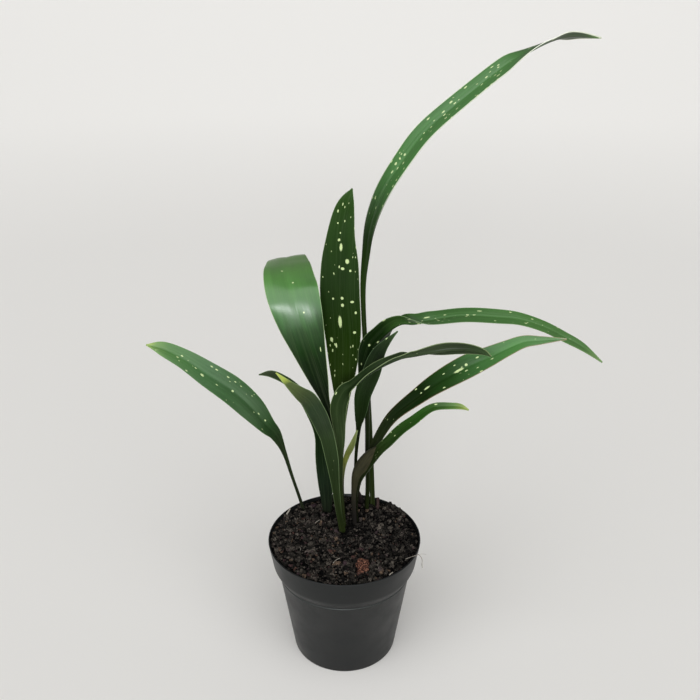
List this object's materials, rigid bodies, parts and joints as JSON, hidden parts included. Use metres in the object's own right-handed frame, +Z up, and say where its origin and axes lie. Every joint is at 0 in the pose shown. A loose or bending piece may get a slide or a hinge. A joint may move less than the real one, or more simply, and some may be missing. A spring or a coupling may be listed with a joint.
{
  "type": "potted cast iron plant",
  "caption": "Cast iron plant with long arching, pointed leaves on slim stalks, rooted in cinder grit in a round tapered nursery pot.",
  "frame": {"origin": "middle of the pot's flat base, on the surface that the pot stands on", "axes": "+Z up along the pot's axis; -Y is the front that the picture shows; +X is to the picture's right"},
  "size_m": [0.3365, 0.188, 0.4709],
  "materials": {
    "pot": "satin",
    "soil": "matte",
    "cinder": "matte",
    "root_stock": "matte",
    "leaf": "satin",
    "sheath": "matte",
    "shoot": "satin",
    "scale": "matte"
  },
  "bodies": {
    "root": {"pot": "pot", "soil": "soil", "red_cinder": "cinder", "root_stock": "root_stock", "leaf_tall_arching": "leaf", "leaf_upright": "leaf", "leaf_arching_back": "leaf", "leaf_front_short": "leaf", "leaf_far_left": "leaf", "leaf_right_arching": "leaf", "leaf_middle_narrow": "leaf", "leaf_right_broad": "leaf", "leaf_right_small": "leaf", "leaf_dark_short": "leaf", "leaf_left_back": "leaf", "leaf_young": "leaf", "stalk_sheath": "sheath", "shoot_pink": "shoot", "scale_dark": "scale"}
  },
  "joints": []
}
